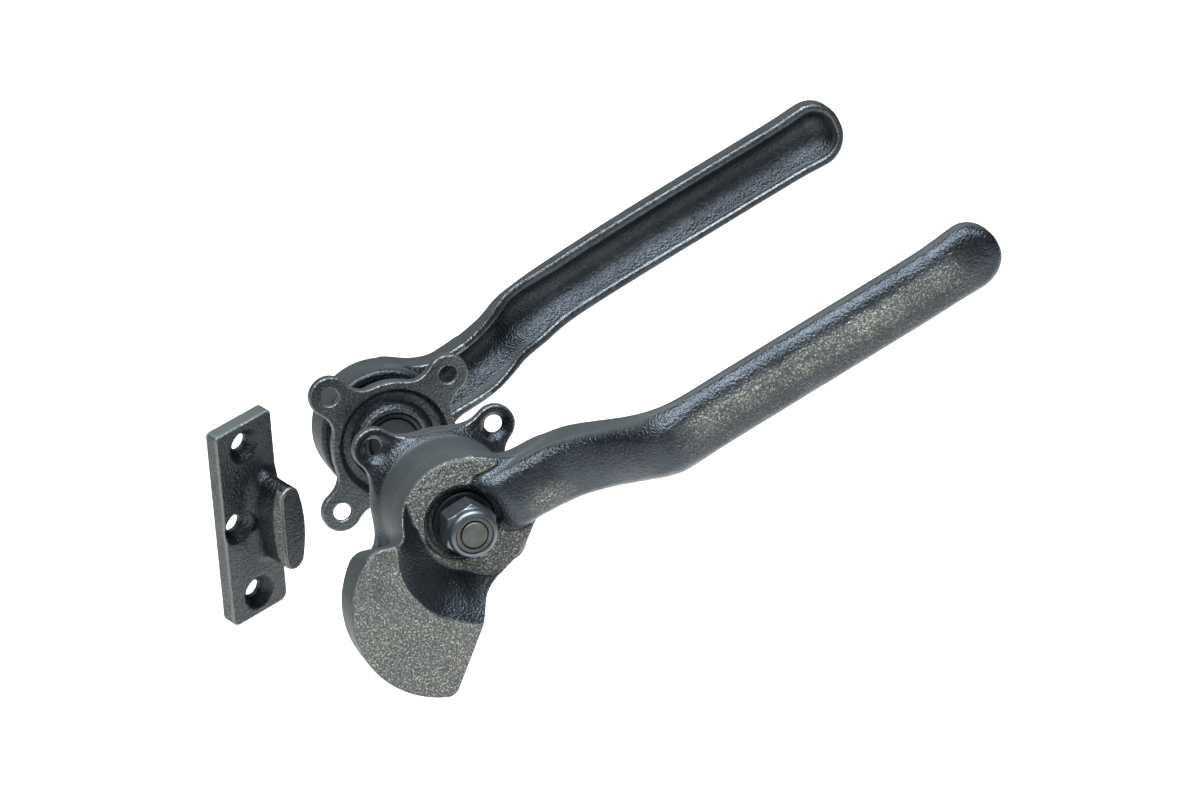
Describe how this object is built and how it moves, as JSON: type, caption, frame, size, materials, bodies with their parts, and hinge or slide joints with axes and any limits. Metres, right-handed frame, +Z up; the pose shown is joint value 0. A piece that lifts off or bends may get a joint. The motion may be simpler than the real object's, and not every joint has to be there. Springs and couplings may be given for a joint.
{
  "type": "double-handled door compression latch",
  "caption": "Cast door latch: a lever handle with a turning cam and a plain lever handle share one spindle through two eared rosettes; a separate bevelled keeper screws to the frame.",
  "frame": {"origin": "on the spindle axis, in the mounting face of the cam side rosette, where it meets the door", "axes": "+Z up, +X along the door towards the handle ends, +Y along the spindle from the cam side through the door to the plain side"},
  "size_m": [0.3026, 0.1932, 0.155],
  "materials": {
    "cast_iron": "sand cast, blackened, satin",
    "steel": "turned, dull",
    "nut_steel": "formed, dark zinc plated",
    "nylon": "matt"
  },
  "bodies": {
    "frame_side": {"cam_side_rosette": "cast_iron", "plain_side_rosette": "cast_iron", "cam_side_bush": "steel", "plain_side_bush": "steel", "keeper": "cast_iron"},
    "turning_unit": {"spindle": "steel", "cam_handle": "cast_iron", "plain_handle": "cast_iron", "nut_washer": "steel", "lock_nut": "nut_steel", "nut_insert": "nylon"}
  },
  "joints": [
    {"name": "handle_turn", "type": "hinge", "parent": "frame_side", "child": "turning_unit", "pos_m": [0, 0, 0], "axis": [0, 1, 0], "range_deg": [-15, 75]}
  ]
}
